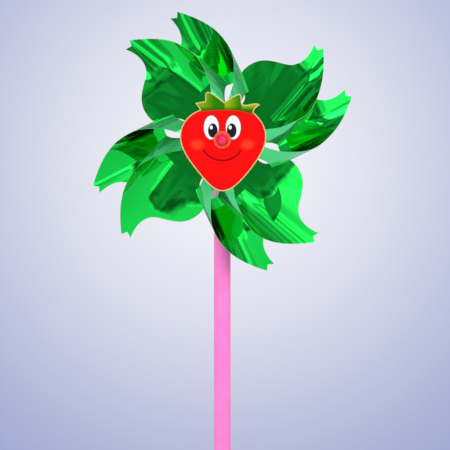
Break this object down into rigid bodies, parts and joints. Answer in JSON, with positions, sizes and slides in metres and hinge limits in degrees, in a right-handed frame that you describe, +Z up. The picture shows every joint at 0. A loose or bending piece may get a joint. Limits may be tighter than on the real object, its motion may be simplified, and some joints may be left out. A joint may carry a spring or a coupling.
{
  "type": "garden windmill",
  "caption": "Foil garden windmill: nested layers of curled green foil blades spin on an axle pin at the top of a hollow pink stick, behind a strawberry card and a red nose cap.",
  "frame": {"origin": "centre of the stick's open foot", "axes": "+Z up along the stick towards the wheel, -Y the way the wheel faces, +X to the right as seen from the front"},
  "size_m": [0.1728, 0.0769, 0.3964],
  "materials": {
    "pink_tube": "extruded tube, satin gloss",
    "pale_pink_moulding": "moulded, slightly see-through",
    "natural_nylon": "natural milky plastic",
    "green_foil": "metallised green film, mirror bright",
    "printed_card": "printed and gloss laminated, cream edge",
    "red_cap": "tinted, glossy"
  },
  "bodies": {
    "stand": {"stick_tube": "pink_tube", "stick_head": "pale_pink_moulding", "axle_pin": "natural_nylon", "nose_cap": "red_cap"},
    "wheel": {"thrust_washer": "natural_nylon", "rear_hub_disc": "natural_nylon", "rear_foil_center": "green_foil", "rear_blade_1": "green_foil", "rear_blade_2": "green_foil", "rear_blade_3": "green_foil", "rear_blade_4": "green_foil", "front_foil_center": "green_foil", "front_blade_1": "green_foil", "front_blade_2": "green_foil", "front_blade_3": "green_foil", "front_blade_4": "green_foil", "hub_tube": "natural_nylon", "front_hub_disc": "natural_nylon"},
    "card": {"card_washer": "natural_nylon", "strawberry_card": "printed_card"}
  },
  "joints": [
    {"name": "wheel_spin", "type": "hinge", "parent": "stand", "child": "wheel", "pos_m": [0, 0, 0.31], "axis": [0, -1, 0], "continuous": true},
    {"name": "card_turn", "type": "hinge", "parent": "stand", "child": "card", "pos_m": [0, 0, 0.31], "axis": [0, -1, 0], "continuous": true}
  ]
}
